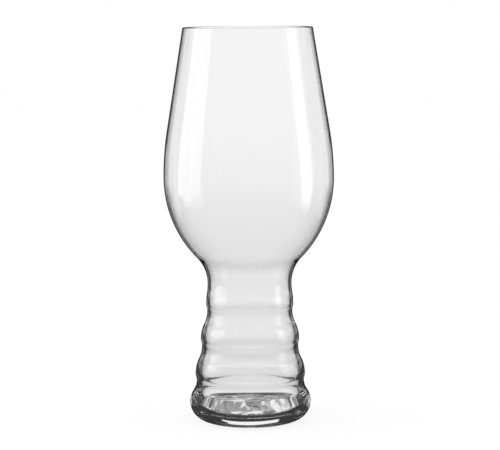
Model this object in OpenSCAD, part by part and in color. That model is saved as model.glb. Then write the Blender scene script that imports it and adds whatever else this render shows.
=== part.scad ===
// Tall beer glass: a tulip bowl over a hollow ribbed stem on a thick rounded foot.
// The three pieces are fused hot at the waist and at the neck, so their faces meet there.
// Every piece is turned about the upright axis, and the glass stands on z = 0.

/* [Foot] */
// Widest diameter of the foot
foot_d = 57; // [52:0.5:68]
// Height of the foot, up to the waist where the stem is fused on
foot_h = 18.7; // [14:0.1:28]
// Radius of the rounding below the widest part of the foot
foot_round = 8.2; // [5:0.1:11]
// Thickness of the glass floor at its edge
floor_t = 5.6; // [4:0.1:9]
// Inner diameter of the floor
floor_d = 47.4; // [40:0.1:50]
// Radius of the fillet between the floor and the wall
floor_round = 3; // [0.5:0.1:5]
// How much the middle of the floor stands higher than its edge
floor_crown = 0.8; // [0.2:0.1:2]
// Width of the flat ring that the glass rests on
rest_w = 1.4; // [1:0.1:5]
// Depth of the hollow under the foot
punt_h = 1.5; // [0.4:0.1:3]

/* [Stem] */
// Outer diameter of the waist, the groove between the foot and the stem
waist_d = 50.6; // [44:0.1:55]
// Glass thickness at the waist
waist_wall = 2.7; // [2:0.1:4]
// How fast the glass thins above the waist, where 1 is evenly up to the neck
wall_fall = 1.5; // [1:0.1:3]
// Number of ribs
rib_count = 3; // [1:1:5]
// Height from one groove to the next
rib_pitch = 16.6; // [10:0.1:24]
// How far a rib swells out beyond the groove below it
rib_swell = 0.5; // [0.1:0.05:2]
// Height of a rib's widest line above the groove below it
rib_rise = 3.1; // [1:0.1:6]
// How far the hollow swells out inside a rib beyond its groove
hollow_swell = 0.5; // [0.1:0.05:1.3]
// Height of the hollow's widest line in a rib, in percent of the height between grooves
hollow_share = 25; // [15:1:50]
// How much lower the hollow's grooves lie than the grooves outside, above the waist
hollow_drop = 0.7; // [0:0.1:3]

/* [Bowl] */
// Height of the neck above the widest line of the top rib
neck_h = 9.7; // [5:0.1:20]
// Outer diameter of the neck
neck_d = 39.4; // [32:0.1:50]
// How much smaller the neck's radius is than that of the groove below the top rib
neck_in = 0.3; // [0:0.05:1.5]
// Glass thickness at the neck
neck_wall = 1.4; // [0.7:0.1:2]
// Height from the neck to the widest line of the bowl
shoulder_h = 49.5; // [35:0.5:70]
// Widest diameter of the bowl
belly_d = 79.4; // [66:0.2:95]
// Glass thickness at the widest line of the bowl
belly_wall = 1.1; // [0.7:0.1:2]
// Part of the shoulder's curve that belongs to the belly, in percent
belly_share = 75; // [40:1:90]
// Height from the widest line of the bowl to the rim
side_h = 69.8; // [56:0.2:90]
// Radius of the curve above the widest line, which runs on straight to the rim
side_round = 136.8; // [80:0.2:180]
// Outer diameter of the rim
rim_d = 60.4; // [48:0.2:76]
// Glass thickness at the rim
rim_wall = 1; // [0.7:0.1:1.6]

/* [Hidden] */
$fn = 144;

// Colour of clear glass on white
clear_glass = [0.9, 0.93, 0.93, 0.4];

// Largest turn between two points of a curve, and of the small curve round the rim
curve_turn = 3;
lip_turn = 15;

// Heights of the seams and of the bowl's lines
top_crest_z = foot_h + (rib_count - 1) * rib_pitch + rib_rise;
neck_z = top_crest_z + neck_h;
belly_z = neck_z + shoulder_h;
rim_z = belly_z + side_h;

// How much smaller each groove's radius is than that of the groove below
rib_step = (waist_d / 2 - neck_d / 2 - neck_in) / max(rib_count - 1, 1);

// Height of the hollow's widest line above its groove
hollow_rise = rib_pitch * hollow_share / 100;

// Points along an arc about centre c, as [radius, height], from angle a0 to a1
function arc(c, r, a0, a1, turn = curve_turn) =
    let (steps = max(2, ceil(abs(a1 - a0) / turn)))
    [for (i = [0:steps]) let (a = a0 + (a1 - a0) * i / steps) c + r * [cos(a), sin(a)]];

function without_first(points) = [for (i = [1:len(points) - 1]) points[i]];

function reversed(points) = [for (i = [len(points) - 1:-1:0]) points[i]];

// Two touching arcs from p up to q, upright at both ends, without p itself.
// The first arc takes the given part of the sum of the two radii.
function s_curve(p, q, first_part) =
    let (out = q.x >= p.x ? 1 : -1)
    let (dr = max(abs(q.x - p.x), 0.001))
    let (dz = q.y - p.y)
    let (radius_sum = (dr * dr + dz * dz) / (2 * dr))
    let (turn = 2 * atan(dr / dz))
    let (r1 = radius_sum * first_part)
    let (r2 = radius_sum - r1)
    let (mid = out > 0 ? 180 - turn : turn)
    let (start = out > 0 ? 180 : 0)
    concat(
        without_first(arc(p + [out * r1, 0], r1, start, mid)),
        without_first(arc(q - [out * r2, 0], r2, mid + (out > 0 ? -180 : 180), 180 - start))
    );

// S-curves through a list of points, the first point included
function s_chain(points) =
    concat(
        [points[0]],
        [for (i = [1:len(points) - 1]) each s_curve(points[i - 1], points[i], 0.5)]
    );

// Glass thickness of the stem at a groove of height z, which thins from the waist up to the neck
function stem_wall(z) =
    let (way_down = (neck_z - z) / (neck_z - foot_h))
    neck_wall + (waist_wall - neck_wall) * pow(way_down, wall_fall);

// Side of the stem: from each groove out to the rib's widest line, in to the next groove, then in to the neck.
// Inside, an inset of 1 takes off the wall, and the grooves above the waist lie lower by the drop.
function stem_side(swell, rise, drop, inset) =
    let (heights = [for (i = [0:rib_count - 1]) foot_h + i * rib_pitch])
    let (radii = [for (i = [0:rib_count - 1]) waist_d / 2 - i * rib_step - inset * stem_wall(heights[i])])
    s_chain(concat(
        [for (i = [0:rib_count - 1]) each [
            [radii[i], heights[i] - (i > 0 ? drop : 0)],
            [radii[i] + swell, heights[i] + rise]
        ]],
        [[neck_d / 2 - inset * neck_wall, neck_z]]
    ));

// Side of the bowl from the neck to the start of its straight run to the rim.
// The straight run touches the arc above the belly and the small circle of the lip.
function bowl_side(neck_r, belly_r, belly_part, side_r, lip_r) =
    let (side_c = [belly_r - side_r, belly_z])
    let (to_lip = lip_c - side_c)
    let (lean = atan2(to_lip.y, to_lip.x) - acos((side_r - lip_r) / norm(to_lip)))
    concat(
        [[neck_r, neck_z]],
        s_curve([neck_r, neck_z], [belly_r, belly_z], 1 - belly_part),
        without_first(arc(side_c, side_r, 0, lean))
    );

// Angle at which the end of a side leans inwards, from its last two points
function end_lean(points) =
    let (d = points[len(points) - 1] - points[len(points) - 2])
    atan2(-d.x, d.y);

// Centre of the rim's round lip
lip_r = rim_wall / 2;
lip_c = [rim_d / 2 - lip_r, rim_z - lip_r];

// Sum of the shoulder's two radii, outside and inside, and the belly's part of each
outer_sum = shoulder_radius_sum(belly_d / 2 - neck_d / 2);
inner_sum = shoulder_radius_sum(belly_d / 2 - belly_wall - neck_d / 2 + neck_wall);
belly_round = outer_sum * belly_share / 100;
inner_part = (belly_round - belly_wall) / inner_sum;
function shoulder_radius_sum(dr) = (dr * dr + shoulder_h * shoulder_h) / (2 * dr);

// Foot: thick pressed base with a rounded edge, a flat resting ring and a shallow hollow beneath
module foot() {
    rest_r = foot_d / 2 - foot_round;
    punt_r = rest_r - rest_w;
    punt_curve = (punt_r * punt_r + punt_h * punt_h) / (2 * punt_h);
    punt_angle = asin(punt_r / punt_curve);
    floor_r = floor_d / 2;
    flat_r = floor_r - floor_round;
    crown_curve = (flat_r * flat_r + floor_crown * floor_crown) / (2 * floor_crown);
    crown_angle = asin(flat_r / crown_curve);
    underside = arc([0, punt_h - punt_curve], punt_curve, 90, 90 - punt_angle);
    edge = arc([rest_r, foot_round], foot_round, -90, 0);
    outside = s_curve([foot_d / 2, foot_round], [waist_d / 2, foot_h], 0.5);
    wall_foot = [floor_r, floor_t + floor_round];
    inside = s_curve(wall_foot, [waist_d / 2 - waist_wall, foot_h], 0.5);
    fillet = arc([flat_r, floor_t + floor_round], floor_round, 0, -90, lip_turn);
    crown = arc([0, floor_t + floor_crown - crown_curve], crown_curve, 90 - crown_angle, 90);
    color(clear_glass)
        rotate_extrude()
            polygon(concat(underside, edge, outside, reversed(inside), fillet, without_first(crown)));
}

// Ribbed stem: hollow blown tube whose ribs widen downwards step by step, with a wall that thins upwards
module ribbed_stem() {
    outside = stem_side(rib_swell, rib_rise, 0, 0);
    inside = stem_side(hollow_swell, hollow_rise, hollow_drop, 1);
    color(clear_glass)
        rotate_extrude()
            polygon(concat(outside, reversed(inside)));
}

// Bowl: thin blown tulip with a fire-rounded lip
module bowl() {
    outside = bowl_side(neck_d / 2, belly_d / 2, belly_share / 100, side_round, lip_r);
    inside = bowl_side(neck_d / 2 - neck_wall, belly_d / 2 - belly_wall, inner_part,
        side_round - belly_wall, -lip_r);
    lip = arc(lip_c, lip_r, end_lean(outside), 180 + end_lean(inside), lip_turn);
    color(clear_glass)
        rotate_extrude()
            polygon(concat(outside, lip, reversed(inside)));
}

foot();
ribbed_stem();
bowl();
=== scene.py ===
import bpy
import numpy as np
from mathutils import Euler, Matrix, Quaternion


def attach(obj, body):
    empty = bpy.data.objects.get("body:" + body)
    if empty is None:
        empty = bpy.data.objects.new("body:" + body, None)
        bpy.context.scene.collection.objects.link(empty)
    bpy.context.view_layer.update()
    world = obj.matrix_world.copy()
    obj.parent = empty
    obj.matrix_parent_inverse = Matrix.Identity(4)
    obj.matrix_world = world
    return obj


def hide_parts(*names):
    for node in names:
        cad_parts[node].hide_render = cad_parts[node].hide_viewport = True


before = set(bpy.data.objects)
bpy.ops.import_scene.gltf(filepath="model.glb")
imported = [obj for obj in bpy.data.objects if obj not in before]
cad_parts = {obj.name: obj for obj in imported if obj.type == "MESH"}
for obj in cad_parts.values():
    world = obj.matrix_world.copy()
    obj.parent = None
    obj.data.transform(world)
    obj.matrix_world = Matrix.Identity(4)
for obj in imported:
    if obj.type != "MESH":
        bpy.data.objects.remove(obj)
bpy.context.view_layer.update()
scene = bpy.context.scene
scene.view_settings.view_transform = "Standard"

# Foot
# The thick clear base, pressed into a rounded edge over a flat resting ring and hollowed beneath.
# Its floor and underside have cooled a little uneven. The stem is fused hot to the ring on its top.
mm = 0.001
foot_d, foot_h, foot_round = 57.0, 18.7, 8.2
floor_t, floor_d, floor_round, floor_crown = 5.6, 47.4, 3.0, 0.8
rest_w, punt_h = 1.4, 1.5
waist_d, waist_wall = 50.6, 2.7


def arc(centre, radius, start, end, turn=1.6):
    """Points at centre + radius (cos a, sin a), as radius and height, for angles a from start to end.
    The steps shrink towards both ends as a cosine does, so arcs that touch join without a crease."""
    steps = int(abs(end - start) / turn) + 5
    a = np.radians(start + (end - start) * (1 - np.cos(np.linspace(0, np.pi, steps + 1))) / 2)
    return np.array(centre) + radius * np.stack([np.cos(a), np.sin(a)], 1)


def s_curve(p, q, first_part=0.5, turn=1.6):
    """Two touching arcs from p up to q, upright at both ends, without p itself. Where q lies d across
    from p and h above it, the radii add up to (d d + h h) / 2 d, and the first takes the given part."""
    side = 1.0 if q[0] >= p[0] else -1.0
    across, up = max(abs(q[0] - p[0]), 0.001), q[1] - p[1]
    both = (across ** 2 + up ** 2) / (2 * across)
    bend = 2 * np.degrees(np.arctan2(across, up))
    first, second = both * first_part, both * (1 - first_part)
    start, middle = (180.0, 180.0 - bend) if side > 0 else (0.0, bend)
    return np.vstack([
        arc((p[0] + side * first, p[1]), first, start, middle, turn)[1:],
        arc((q[0] - side * second, q[1]), second, middle - side * 180, 180 - start, turn)[1:],
    ])


def straight(p, q, step):
    """Points on the straight line from p to q, about one step apart, without its two ends."""
    p, q = np.array(p), np.array(q)
    count = max(2, int(np.hypot(*(q - p)) / step))
    return p + np.linspace(0, 1, count + 1)[1:-1, None] * (q - p)


def turned(name, profile, seams, uneven=None, around=256):
    """A profile of radius and height carried round the upright axis: at turn a, the point (r, z) stands at
    (r cos a, r sin a, z), plus the rise that uneven gives for x, y and the row. A first and last point on
    the axis become poles with fans, and otherwise the last point joins the first. The rows in seams are
    the flat rings where pieces are fused: they take the second material, and stay flat."""
    a = np.linspace(0, 2 * np.pi, around, endpoint=False)
    poles = profile[0, 0] < 1e-6
    rings = profile[1:-1] if poles else profile
    x, y = rings[:, :1] * np.cos(a), rings[:, :1] * np.sin(a)
    z = np.broadcast_to(rings[:, 1:], x.shape)
    ends = profile[[0, -1], 1] if poles else np.zeros(0)
    if uneven is not None:
        z = z + uneven(x, y, np.arange(len(rings))[:, None])
        ends = ends + uneven(np.zeros(2), np.zeros(2), np.array([0, len(rings) - 1]))
    points = np.stack([x, y, z], -1).reshape(-1, 3)
    points = np.vstack([points, np.stack([0 * ends, 0 * ends, ends], 1)]) * mm
    rows = np.arange(len(rings) - 1 if poles else len(rings))
    low, high = rows[:, None] * around, ((rows + 1) % len(rings))[:, None] * around
    j = np.arange(around)[None]
    k = (j + 1) % around
    quads = np.stack([low + j, low + k, high + k, high + j], -1).reshape(-1, 4)
    faces = quads.tolist()
    if poles:
        top = (len(rings) - 1) * around
        pole = np.full(around, len(points) - 2)
        faces += np.stack([pole, k[0], j[0]], -1).tolist()
        faces += np.stack([pole + 1, top + j[0], top + k[0]], -1).tolist()
    mesh = bpy.data.meshes.new(name)
    mesh.from_pydata(points, [], faces)
    flat = np.zeros(len(faces), bool)
    flat[:len(quads)] = np.repeat(np.isin(rows, seams), around)
    mesh.polygons.foreach_set("material_index", flat.astype(np.int32))
    mesh.polygons.foreach_set("use_smooth", ~flat)
    mesh.set_sharp_from_angle(angle=np.radians(60))
    piece = bpy.data.objects.new(name, mesh)
    scene.collection.objects.link(piece)
    return piece


def put(tree, kind, **inputs):
    """A new node of that kind. Each keyword is a property of the node, or the number or link of an input,
    which is written in_ and its number."""
    made = tree.nodes.new("ShaderNode" + kind)
    for key, value in inputs.items():
        if not key.startswith("in_"):
            setattr(made, key, value)
        elif isinstance(value, bpy.types.NodeSocket):
            tree.links.new(value, made.inputs[int(key[3:])])
        else:
            made.inputs[int(key[3:])].default_value = value
    return made


def ramp(tree, value, low, high, low_shade=0.0, high_shade=1.0):
    """A shade that runs smoothly from low_shade to high_shade as the value goes from low to high."""
    return put(tree, "MapRange", interpolation_type="SMOOTHSTEP", in_0=value, in_1=low, in_2=high,
               in_3=low_shade, in_4=high_shade).outputs[0]


def sums(tree, operation, *values):
    """The values put together one after another by that operation."""
    total = values[0]
    for value in values[1:]:
        total = put(tree, "Math", operation=operation, in_0=total, in_1=value).outputs[0]
    return total


def choose(tree, share, first, second):
    """The first value where share is 0, and the second where it is 1."""
    return put(tree, "Mix", in_0=share, in_2=first, in_3=second).outputs[0]


# What a worked glass surface has: long soft waves left by the tools, fine ripples across them, and a haze
# of finger marks and dried water in patches.
wave_detail, ripple_detail, ripple_share = 1.0, 2.0, 0.12
mark_size, mark_detail, marks_from, marks_full = 90.0, 4.0, 0.45, 0.8
worked = bpy.data.node_groups.new("worked_glass", "ShaderNodeTree")
for socket, kind in (("Place", "Vector"), ("Wave Size", "Float"), ("Ripple Size", "Float"),
                     ("Haze", "Float")):
    worked.interface.new_socket(socket, in_out="INPUT", socket_type="NodeSocket" + kind)
for socket in ("Height", "Roughness"):
    worked.interface.new_socket(socket, in_out="OUTPUT", socket_type="NodeSocketFloat")
given = worked.nodes.new("NodeGroupInput").outputs
waves = put(worked, "TexNoise", in_0=given["Place"], in_2=given["Wave Size"], in_3=wave_detail)
ripples = put(worked, "TexNoise", in_0=given["Place"], in_2=given["Ripple Size"], in_3=ripple_detail)
both = put(worked, "Math", operation="MULTIPLY_ADD", in_0=ripples.outputs[0], in_1=ripple_share,
           in_2=waves.outputs[0])
marks = put(worked, "TexNoise", in_0=given["Place"], in_2=mark_size, in_3=mark_detail)
patches = ramp(worked, marks.outputs[0], marks_from, marks_full)
shown = worked.nodes.new("NodeGroupOutput").inputs
worked.links.new(both.outputs[0], shown["Height"])
worked.links.new(sums(worked, "MULTIPLY", patches, given["Haze"]), shown["Roughness"])

# The second colour is the grey of the painted shade rings, which stand in for light the glass bends away.
glass_colour, painted_ring_shade, glass_ior = (0.998, 0.999, 0.998, 1), (0.93, 0.93, 0.93, 1), 1.5


def clear_glass(name, wave_size, ripple_size, depth, haze):
    """Clear soda glass. The worked surface gives its waves, depth metres high, and its haze."""
    material = bpy.data.materials.new(name)
    material.use_nodes = True
    tree = material.node_tree
    glass = tree.nodes["Principled BSDF"]
    glass.inputs["Base Color"].default_value = glass_colour
    glass.inputs["Transmission Weight"].default_value = 1.0
    glass.inputs["IOR"].default_value = glass_ior
    place = put(tree, "TexCoord").outputs["Object"]
    surface = put(tree, "Group", node_tree=worked, in_0=place, in_1=wave_size, in_2=ripple_size, in_3=haze)
    bump = put(tree, "Bump")
    bump.inputs["Distance"].default_value = depth
    tree.links.new(surface.outputs["Height"], bump.inputs["Height"])
    tree.links.new(bump.outputs["Normal"], glass.inputs["Normal"])
    tree.links.new(surface.outputs["Roughness"], glass.inputs["Roughness"])
    return material


def painted_shade_rings(material, near_lines, far_lines):
    """Painted shade in the glass's colour: grey rings round the near wall and round the far one, which light
    reaches after the near wall, standing in for the light that their curves bend away there. Each line has a
    height and how far from it the grey fades, in millimetres."""
    tree = material.node_tree
    up = put(tree, "SeparateXYZ", in_0=put(tree, "TexCoord").outputs["Object"]).outputs["Z"]
    shares = []
    for lines in (near_lines, far_lines):
        rings = []
        for height, fade in lines:
            above = sums(tree, "SUBTRACT", up, height * mm)
            off = put(tree, "Math", operation="ABSOLUTE", in_0=above).outputs[0]
            rings.append(ramp(tree, off, 0.0, fade * mm, 1.0, 0.0))
        shares.append(sums(tree, "MAXIMUM", 0.0, *rings))
    far_wall = sums(tree, "GREATER_THAN", put(tree, "LightPath").outputs["Transmission Depth"], 1.5)
    tint = put(tree, "Mix", data_type="RGBA", in_0=choose(tree, far_wall, *shares), in_6=glass_colour,
               in_7=painted_ring_shade)
    tree.links.new(tint.outputs[2], tree.nodes["Principled BSDF"].inputs["Base Color"])


# The fused rings have no surface of their own, because the glass runs on through them.
fused = bpy.data.materials.new("fused_ring")
fused.use_nodes = True
fused.node_tree.nodes["Principled BSDF"].inputs["Alpha"].default_value = 0.0

under_turn, ring_step, fillet_turn, crown_turn = 0.35, 0.3, 4.0, 0.3
rest_r = foot_d / 2 - foot_round
punt_r = rest_r - rest_w
punt_curve = (punt_r ** 2 + punt_h ** 2) / (2 * punt_h)
punt_angle = np.degrees(np.arcsin(punt_r / punt_curve))
flat_r = floor_d / 2 - floor_round
crown_curve = (flat_r ** 2 + floor_crown ** 2) / (2 * floor_crown)
crown_angle = np.degrees(np.arcsin(flat_r / crown_curve))
waist_out, waist_in = (waist_d / 2, foot_h), (waist_d / 2 - waist_wall, foot_h)
wall_foot = (floor_d / 2, floor_t + floor_round)
under = arc((0, punt_h - punt_curve), punt_curve, 90, 90 - punt_angle, under_turn)
ring = straight(under[-1], (rest_r, 0), ring_step)
edge = arc((rest_r, foot_round), foot_round, -90, 0)
foot_side = s_curve((foot_d / 2, foot_round), waist_out)
foot_inside = np.vstack([[wall_foot], s_curve(wall_foot, waist_in)])[::-1]
fillet = arc((flat_r, floor_t + floor_round), floor_round, 0, -90, fillet_turn)[1:]
crown = arc((0, floor_t + floor_crown - crown_curve), crown_curve, 90 - crown_angle, 90, crown_turn)[1:]
foot_profile = np.vstack([under, ring, edge, foot_side, foot_inside, fillet, crown])
foot_profile[[0, -1], 0] = 0.0
# The first point is a pole, so a row of the turned piece is one less than its place in the profile.
seam_row = len(under) + len(ring) + len(edge) + len(foot_side) - 2
crown_row = len(foot_profile) - len(crown) - 1


def cooled_uneven(x, y, row):
    """Rise of the foot's underside and floor. Rings run about a middle that lies off the axis, and are bent
    by the sine of twice the turn, so they swirl. Long waves cross them. All are up to a few tenths of a
    millimetre high, and fade out towards the resting ring and the fillet as 1 - (r / reach)^4."""
    middle_x, middle_y = 2.0, -1.5
    r2 = x ** 2 + y ** 2
    off = np.hypot(x - middle_x, y - middle_y)
    swirl = 2 * x * y / (r2 + 30)
    rings_below = 0.15 * np.cos(0.7 * off + 1.5 * swirl)
    waves_below = 0.1 * np.sin(0.31 * x + 0.17 * y + 0.6) * np.cos(0.42 * y - 0.12 * x)
    rings_above = 0.1 * np.cos(0.6 * off - 1.6 * swirl + 1.0)
    waves_above = 0.06 * np.sin(0.27 * x - 0.33 * y + 1.9)
    below = (rings_below + waves_below) * np.clip(1 - (r2 / punt_r ** 2) ** 2, 0, 1)
    above = (rings_above + waves_above) * np.clip(1 - (r2 / flat_r ** 2) ** 2, 0, 1)
    return np.where(row < len(under), below, np.where(row >= crown_row, above, 0.0))


foot = turned("foot", foot_profile, [seam_row], cooled_uneven)
foot_glass = clear_glass("foot_glass", wave_size=45.0, ripple_size=220.0, depth=0.000015, haze=0.006)
painted_shade_rings(foot_glass, near_lines=[], far_lines=[(11.5, 5.0), (16.5, 5.0)])
foot.data.materials.append(foot_glass)
foot.data.materials.append(fused)
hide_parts("foot")
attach(foot, "root")

# Ribbed stem
# A hollow tube of clear glass, blown into a mould that steps it out in three ribs towards the foot. Its
# wall thins upwards. Flat rings at its two ends are fused hot to the foot and the bowl.
rib_count, rib_pitch, rib_swell, rib_rise = 3, 16.6, 0.5, 3.1
hollow_swell, hollow_share, hollow_drop, wall_fall = 0.5, 0.25, 0.7, 1.5
neck_h, neck_d, neck_in, neck_wall = 9.7, 39.4, 0.3, 1.4
rib_step = (waist_d / 2 - neck_d / 2 - neck_in) / (rib_count - 1)
neck_z = foot_h + (rib_count - 1) * rib_pitch + rib_rise + neck_h


def stem_side(swell, rise, drop, inset):
    """S-curves out from each groove to the rib's widest line and in to the next groove, and last to the
    neck. Inside, the wall is taken off, which thins from the waist to the neck as a power of the way up,
    and the grooves above the waist lie lower by the drop."""
    z = foot_h + rib_pitch * np.arange(rib_count)
    wall = neck_wall + (waist_wall - neck_wall) * ((neck_z - z) / (neck_z - foot_h)) ** wall_fall
    r = waist_d / 2 - rib_step * np.arange(rib_count) - inset * wall
    lines = np.vstack([np.stack([r, z - drop * (z > foot_h), r + swell, z + rise], 1).reshape(-1, 2),
                       [(neck_d / 2 - inset * neck_wall, neck_z)]])
    return np.vstack([lines[:1], *[s_curve(p, q) for p, q in zip(lines[:-1], lines[1:])]])


stem_out = stem_side(rib_swell, rib_rise, 0, 0)
stem_in = stem_side(hollow_swell, rib_pitch * hollow_share, hollow_drop, 1)[::-1]
stem_profile = np.vstack([stem_out, stem_in])
stem = turned("ribbed_stem", stem_profile, [len(stem_out) - 1, len(stem_profile) - 1])
stem_glass = clear_glass("stem_glass", wave_size=60.0, ripple_size=300.0, depth=0.000015, haze=0.006)
painted_shade_rings(stem_glass, near_lines=[(33.9, 3.0), (40.2, 2.5), (56.0, 2.5)],
           far_lines=[(23.9, 3.5), (31.4, 3.5), (49.1, 3.5)])
stem.data.materials.append(stem_glass)
stem.data.materials.append(fused)
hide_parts("ribbed_stem")
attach(stem, "root")

# Bowl
# The tulip: thin clear glass, blown, cut off at the top and melted round at the lip. It swells out over
# the shoulder to its widest line, and draws in again to the rim. Its neck is fused to the stem.
shoulder_h, belly_d, belly_wall, belly_part = 49.5, 79.4, 1.1, 0.75
side_h, side_round, rim_d, rim_wall = 69.8, 136.8, 60.4, 1.0
shoulder_turn, side_turn, lip_turn, side_step = 1.3, 0.6, 10.0, 1.5
belly_z = neck_z + shoulder_h
lip_r = rim_wall / 2
lip_c = np.array([rim_d / 2 - lip_r, belly_z + side_h - lip_r])


def bowl_side(neck_r, belly_r, part, side_r, touch_r):
    """An s-curve from the neck to the widest line, whose second arc takes the given part, then an arc of
    radius side_r until a straight line touches both it and the lip's circle, and the lean of that line."""
    centre = np.array([belly_r - side_r, belly_z])
    to_lip = lip_c - centre
    lean = np.degrees(np.arctan2(to_lip[1], to_lip[0]) - np.arccos((side_r - touch_r) / np.hypot(*to_lip)))
    shoulder = s_curve((neck_r, neck_z), (belly_r, belly_z), 1 - part, shoulder_turn)
    return np.vstack([[(neck_r, neck_z)], shoulder, arc(centre, side_r, 0, lean, side_turn)[1:]]), lean


def shoulder_sum(across):
    """Sum of the shoulder's two radii, for a step across and the shoulder's height: (d d + h h) / 2 d."""
    return (across ** 2 + shoulder_h ** 2) / (2 * across)


belly_round = shoulder_sum((belly_d - neck_d) / 2) * belly_part
inner_sum = shoulder_sum((belly_d - neck_d) / 2 - belly_wall + neck_wall)
bowl_out, lean_out = bowl_side(neck_d / 2, belly_d / 2, belly_part, side_round, lip_r)
bowl_in, lean_in = bowl_side(neck_d / 2 - neck_wall, belly_d / 2 - belly_wall,
                             (belly_round - belly_wall) / inner_sum, side_round - belly_wall, -lip_r)
lip = arc(lip_c, lip_r, lean_out, 180 + lean_in, lip_turn)
bowl_profile = np.vstack([bowl_out, straight(bowl_out[-1], lip[0], side_step), lip,
                          straight(lip[-1], bowl_in[-1], side_step), bowl_in[::-1]])
bowl = turned("bowl", bowl_profile, [len(bowl_profile) - 1])
bowl_glass = clear_glass("bowl_glass", wave_size=30.0, ripple_size=160.0, depth=0.00003, haze=0.008)
painted_shade_rings(bowl_glass, near_lines=[(75.8, 4.5)], far_lines=[(69.9, 4.5)])
bowl.data.materials.append(bowl_glass)
bowl.data.materials.append(fused)
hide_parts("bowl")
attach(bowl, "root")

# Table and white backdrop
# A wide white table runs into a white backdrop, both plain white for the camera and through the hollow of
# the glass. What the glass mirrors, or leads along inside its wall, is painted on them instead: a dark room
# with dark flags, white sheets and the softboxes' strips as painted reflections, which give the glass its
# dark edges.
table_half = 3.0
table = bpy.data.objects.new("table", bpy.data.meshes.new("table"))
table.data.from_pydata(np.array([(-1, -1, 0), (1, -1, 0), (1, 1, 0), (-1, 1, 0)]) * table_half, [],
                       [(0, 1, 2, 3)])
scene.collection.objects.link(table)
room_dark, room_sides, sheet_white, clear_white = 0.04, 0.5, 0.9, 0.95
left_turn, right_turn = -92.0, 97.0
# Half the width, in degrees, and the softness of the painted dark flags, of the painted white sheets behind
# them, and of the dark part of the room.
far_flag, wide_flag, near_flag = (26.0, 5.0), (43.0, 3.0), (52.0, 4.0)
far_end, near_end, room_behind = (62.0, 18.0), (75.0, 15.0), (55.0, 25.0)
# Each painted reflection of a softbox is a strip with a turn, half its width and a strength. On the table it
# starts at a distance from the glass.
box_strips = [(-84.3, 13.8, 1.5), (-102.0, 10.5, 0.85), (96.5, 10.0, 1.5)]
strip_starts, strip_fade, strip_soft = (0.265, 0.19, 0.19), 0.03, 1.5


def facing(tree, level, turn, half, soft, strength=1.0):
    """The strength of a sheet that is seen level at that turn from straight behind, within half its width
    in degrees, with soft edges."""
    way = (np.sin(np.radians(turn)), np.cos(np.radians(turn)), 0)
    toward = put(tree, "VectorMath", operation="DOT_PRODUCT", in_0=level, in_1=way).outputs["Value"]
    outer, inner = np.cos(np.radians([half + soft, half - soft]))
    return ramp(tree, toward, outer, inner, 0.0, strength)


def painted_softbox_strips(tree, level):
    """The strips of the softboxes, each at its own turn, painted as reflections on the table and the
    backdrop.
    """
    return [facing(tree, level, turn, half, strip_soft, strength) for turn, half, strength in box_strips]


def sheets(tree, level, flag, end):
    """White sheets on both sides of straight behind, up to their end, with a dark flag between them: the
    whole width less the flag's."""
    return sums(tree, "SUBTRACT", facing(tree, level, 0.0, *end, sheet_white),
                facing(tree, level, 0.0, *flag, sheet_white))


def open_room(tree, level, sides):
    """The room itself, with that light at the sides and in front, and dark straight behind."""
    return choose(tree, facing(tree, level, 0.0, *room_behind), sides, room_dark)


def led_along(tree, ray):
    """Two marks of the light: 1 where no wall has mirrored it, and 1 where the wall has led it along. Such
    light has passed fewer than 4 surfaces, or fewer than 6 where a wall has mirrored it."""
    unmirrored = sums(tree, "LESS_THAN", ray["Glossy Depth"], 0.5)
    led = sums(tree, "LESS_THAN", ray["Transmission Depth"], choose(tree, unmirrored, 5.5, 3.5))
    return unmirrored, led


white = bpy.data.materials.new("white_table")
white.use_nodes = True
tree = white.node_tree
tree.nodes.clear()
ray = put(tree, "LightPath").outputs
place = put(tree, "TexCoord").outputs["Object"]
reach = put(tree, "VectorMath", operation="LENGTH", in_0=place).outputs["Value"]
level = put(tree, "VectorMath", operation="NORMALIZE", in_0=place).outputs["Vector"]
unmirrored, led = led_along(tree, ray)

# Painted light and shade on the table, seen only through the glass: painted caustic swirls under the thick
# floor, a painted shadow behind the floor, and painted shade beside the foot that fades to white further
# away.
# Distances from the middle of the glass are in metres, and turns in degrees.
swirl_size, swirl_detail, swirl_bend = (130, 75, 0), 2.0, 1.4
swirl_from, swirl_full, swirl_dark = 0.44, 0.62, 0.16
dark_from, dark_full, dark_half, dark_soft, dark_shade = 0.0095, 0.015, 50.0, 12.0, 0.05
foot_edge, foot_clear, table_pale, table_end = 0.030, 0.036, 0.88, 2.2
spread = put(tree, "VectorMath", operation="MULTIPLY", in_0=place, in_1=swirl_size).outputs["Vector"]
# Noise for the painted caustic swirls under the floor.
painted_caustic_noise = put(tree, "TexNoise", in_0=spread, in_2=1.0, in_3=swirl_detail, in_8=swirl_bend).outputs[0]
painted_caustic_swirls = ramp(tree, painted_caustic_noise, swirl_from, swirl_full, swirl_dark, clear_white)
# A painted shadow on the table behind the foot's floor.
painted_shadow_behind_floor = sums(tree, "MULTIPLY", ramp(tree, reach, dark_from, dark_full),
                    facing(tree, level, 0.0, dark_half, dark_soft))
painted_light_under_foot = choose(tree, painted_shadow_behind_floor, painted_caustic_swirls, dark_shade)
# Painted soft shade on the table beside the foot.
painted_shade_beside_foot = ramp(tree, reach, 0.0, table_end, table_pale, 1.0)
through = choose(tree, ramp(tree, reach, foot_edge, foot_clear), painted_light_under_foot, painted_shade_beside_foot)

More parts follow.
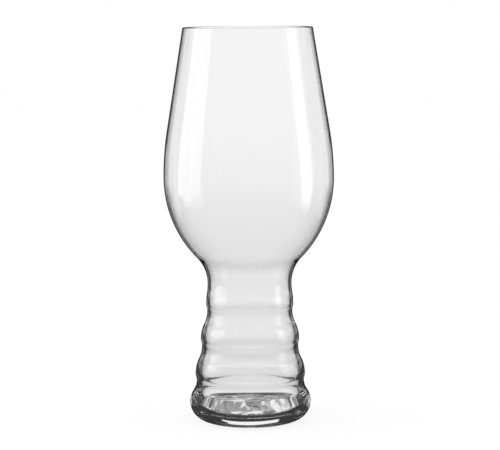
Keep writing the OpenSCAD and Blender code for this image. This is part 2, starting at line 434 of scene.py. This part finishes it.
# What the glass mirrors from the table, all painted there: the softboxes as painted reflections, narrower
# close by, where the ribs see them, and the white sheets. Each pair of distances says where something starts
# to show and where it shows in full.
ribs_at, strips_at, near_at, far_at, sides_at = (0.2, 0.4), (0.4, 0.55), (0.2, 0.3), (0.4, 1.1), (0.3, 0.9)
rib_left, rib_right = (left_turn, 8.0, 8.0), (right_turn, 6.0, 6.0)
strips = [sums(tree, "MULTIPLY", strip, ramp(tree, reach, start, start + strip_fade))
          for strip, start in zip(painted_softbox_strips(tree, level), strip_starts)]
on_ribs = sums(tree, "MULTIPLY", ramp(tree, reach, *ribs_at),
               sums(tree, "ADD", facing(tree, level, *rib_left), facing(tree, level, *rib_right)))
# The painted reflections of the softboxes, which only the glass sees.
painted_strip_reflections = sums(tree, "MULTIPLY", sums(tree, "MAXIMUM", *strips),
           choose(tree, ramp(tree, reach, *strips_at), on_ribs, 1.0))
beyond = ramp(tree, reach, *far_at)
near = sums(tree, "MULTIPLY", sheets(tree, level, near_flag, near_end), ramp(tree, reach, *near_at))
far, wide = sheets(tree, level, far_flag, far_end), sheets(tree, level, wide_flag, far_end)
sides = ramp(tree, reach, *sides_at, room_dark, room_sides)
room = sums(tree, "MAXIMUM", open_room(tree, level, sides), choose(tree, beyond, near, far), painted_strip_reflections)

# What the wall leads along: painted pale strands of light and the room, or the plain table for light that
# comes steeply from above, whose way is longer than its reach on the table.
strand_turns, strand_half, strand_soft, strand_pale = (-24.0, 0.0, 24.0), 3.0, 2.0, 0.35
steep_at, open_at = (0.01, 0.02), (0.1, 0.25)
# Painted pale strands of light, seen only by light led along inside the wall.
painted_strands = [facing(tree, level, turn, strand_half, strand_soft, strand_pale) for turn in strand_turns]
from_above = ramp(tree, sums(tree, "SUBTRACT", ray["Ray Length"], reach), *steep_at, 0.0, clear_white)
inside_glass = choose(
    tree, unmirrored,
    sums(tree, "MAXIMUM", choose(tree, beyond, room_dark, wide), painted_strip_reflections, *painted_strands),
    sums(tree, "MAXIMUM", from_above, ramp(tree, reach, *open_at, room_dark, clear_white)))

# The camera sees the glow of the table and, added to it, the lamps' light with the shadow of the glass.
camera_glow, camera_matt, bounce_white = 0.86, (0.16, 0.16, 0.16, 1), (0.8, 0.8, 0.8, 1)
seen = choose(tree, led, through, inside_glass)
mirrored = choose(tree, ray["Is Reflection Ray"], seen, room)
glow = put(tree, "Emission", in_0=choose(tree, ray["Is Camera Ray"], mirrored, camera_glow))
matt = put(tree, "BsdfDiffuse", in_0=camera_matt)
direct = put(tree, "AddShader", in_0=glow.outputs[0], in_1=matt.outputs[0])
bounced = put(tree, "BsdfDiffuse", in_0=bounce_white)
by_glass = sums(tree, "MAXIMUM", ray["Is Transmission Ray"], ray["Is Reflection Ray"])
plain = put(tree, "MixShader", in_0=by_glass, in_1=bounced.outputs[0], in_2=glow.outputs[0])
top = put(tree, "MixShader", in_0=ray["Is Camera Ray"], in_1=plain.outputs[0], in_2=direct.outputs[0])
tree.links.new(top.outputs[0], put(tree, "OutputMaterial").inputs["Surface"])
table.data.materials.append(white)

# The backdrop is the world, white for the camera. For the glass it carries painted light: it greys towards
# the ceiling, a white board straight behind, seen by light mirrored inside the glass, paints the bright
# window in the foot, and the softboxes' strips are painted reflections. Each pair of heights, as sines of
# the angle above the table, says where something starts to change and where it ends.
scene.world = bpy.data.worlds.new("white_backdrop")
scene.world.use_nodes = True
tree = scene.world.node_tree
ray = put(tree, "LightPath").outputs
look = put(tree, "TexCoord").outputs["Generated"]
along = put(tree, "VectorMath", operation="MULTIPLY", in_0=look, in_1=(1, 1, 0)).outputs["Vector"]
level = put(tree, "VectorMath", operation="NORMALIZE", in_0=along).outputs["Vector"]
height = put(tree, "SeparateXYZ", in_0=look).outputs["Z"]
unmirrored, led = led_along(tree, ray)
board_side, board_foot, board_top = (20.0, 1.0), (0.02, 0.05), (0.5, 0.6)
box_top, sheet_top, mouth_top, ceiling = (0.3, 0.42), (0.08, 0.16), (0.09, 0.13), (0.3, 0.9)
ceiling_grey, bounce_light, backdrop_white = 0.6, 0.85, 1.0
# A painted white board, seen only by light mirrored inside the glass.
painted_window_board = sums(tree, "MULTIPLY", facing(tree, level, 0.0, *board_side), ramp(tree, height, *board_foot),
             ramp(tree, height, *board_top, 1.0, 0.0))
# The softboxes' strips, painted here as reflections for the glass.
painted_strip_reflections = sums(tree, "MULTIPLY", sums(tree, "MAXIMUM", *painted_softbox_strips(tree, level)),
           ramp(tree, height, *box_top, 1.0, 0.0))
low = ramp(tree, height, *sheet_top, 1.0, 0.0)
far = sums(tree, "MULTIPLY", sheets(tree, level, far_flag, far_end), low)
wide = sums(tree, "MULTIPLY", sheets(tree, level, wide_flag, far_end), low)
room = sums(tree, "MAXIMUM", open_room(tree, level, room_sides), far, painted_strip_reflections)
inside_glass = choose(tree, unmirrored, sums(tree, "MAXIMUM", room_dark, wide, painted_strip_reflections, painted_window_board),
                      ramp(tree, height, *mouth_top, clear_white, room_dark))
seen = choose(tree, led, ramp(tree, height, *ceiling, backdrop_white, ceiling_grey), inside_glass)
mirrored = choose(tree, ray["Is Reflection Ray"], seen, room)
lighting = choose(tree, ray["Is Diffuse Ray"], mirrored, bounce_light)
shade = choose(tree, ray["Is Camera Ray"], lighting, backdrop_white)
tree.links.new(shade, tree.nodes["Background"].inputs["Color"])

# Softboxes
# Two upright lamps with white cloth fronts stand left and right of the table. They only light the table: the
# glass doesn't see them, and the long white strips on the bowl and short ones on the ribs are painted
# reflections of them on the table and the backdrop.
box_away, box_height, box_light = 1.0, 0.92, 1.9
for name, turn, half in (("softbox_left", left_turn, 20.0), ("softbox_right", right_turn, 9.0)):
    lamp = bpy.data.lights.new(name, "AREA")
    lamp.shape = "RECTANGLE"
    lamp.size, lamp.size_y = 2 * box_away * np.tan(np.radians(half)), box_height
    lamp.energy = box_light * np.pi * lamp.size * lamp.size_y
    stand = bpy.data.objects.new(name, lamp)
    stand.location = (box_away * np.sin(np.radians(turn)), box_away * np.cos(np.radians(turn)),
                      box_height / 2)
    stand.rotation_euler = (np.pi / 2, 0, np.pi - np.radians(turn))
    stand.visible_camera = stand.visible_transmission = stand.visible_glossy = False
    scene.collection.objects.link(stand)
# Light is mirrored and bent many times inside the thick glass before it leaves.
bounces = 32
scene.cycles.max_bounces = scene.cycles.transmission_bounces = scene.cycles.glossy_bounces = bounces
scene.cycles.transparent_max_bounces = bounces

# Camera
# It stands in front of the glass, a little above the rim's height, and looks down at it by seven degrees.
look_down, roll = 7.033, 0.4515
lens = bpy.data.cameras.new("camera")
lens.sensor_width, lens.lens = 36.0, 132.673
camera = bpy.data.objects.new("camera", lens)
camera.location = (0.00041, -0.855142, 0.197409)
camera.rotation_mode = "QUATERNION"
camera.rotation_quaternion = (Euler((np.radians(90 - look_down), 0, 0)).to_quaternion()
                              @ Quaternion((0, 0, 1), -np.radians(roll)))
scene.collection.objects.link(camera)
scene.camera = camera
